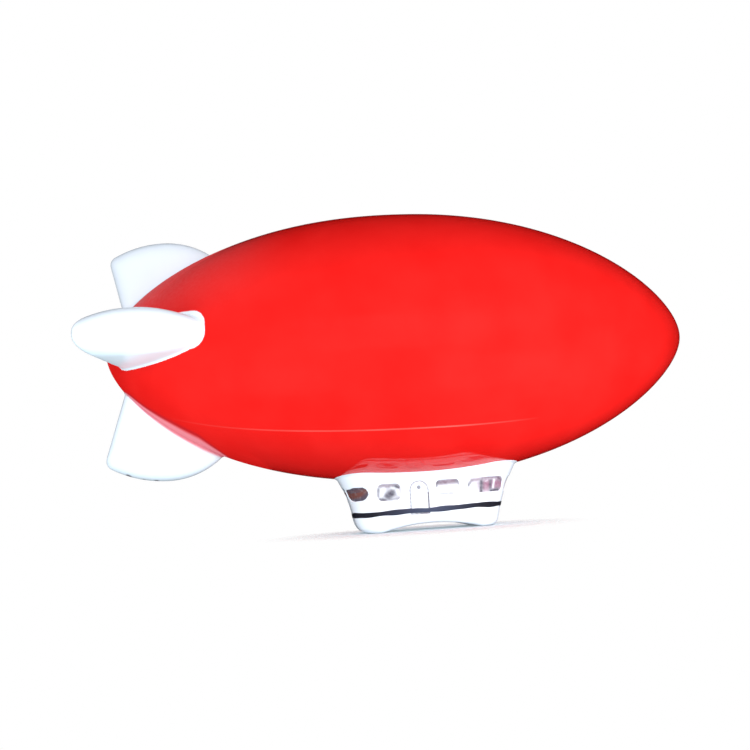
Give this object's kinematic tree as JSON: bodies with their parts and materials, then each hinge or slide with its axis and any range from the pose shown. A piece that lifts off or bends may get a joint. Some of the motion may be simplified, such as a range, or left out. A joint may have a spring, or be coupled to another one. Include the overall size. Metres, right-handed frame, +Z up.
{
  "type": "foam squeeze toy blimp",
  "caption": "Palm-size moulded foam squeeze toy shaped like an advertising blimp: stubby hull, soft tail fins and a cabin block that it stands on.",
  "frame": {"origin": "on the floor, centre of the bounding box in plan, under the middle of the hull", "axes": "+X towards the nose along the hull, +Y to port, +Z up"},
  "size_m": [0.12, 0.0544, 0.0642],
  "materials": {
    "red_skin": "glossy red paint on soft moulded foam",
    "white_skin": "glossy white paint on soft moulded foam",
    "brown_paint": "thin brown paint in moulded recesses, worn through in places",
    "black_paint": "hand-painted black stripe"
  },
  "bodies": {
    "root": {"hull": "red_skin", "fin_upper": "white_skin", "fin_lower": "white_skin", "fin_port": "white_skin", "fin_starboard": "white_skin", "gondola": "white_skin", "door_port": "white_skin", "door_starboard": "white_skin", "pinstripe": "black_paint", "porthole_port": "brown_paint", "porthole_starboard": "brown_paint", "window_aft_port": "brown_paint", "window_aft_starboard": "brown_paint", "window_mid_aft_port": "brown_paint", "window_mid_aft_starboard": "brown_paint", "window_mid_fore_port": "brown_paint", "window_mid_fore_starboard": "brown_paint", "window_fore_port": "brown_paint", "window_fore_starboard": "brown_paint", "windscreen": "brown_paint", "rear_window": "brown_paint"}
  },
  "joints": []
}
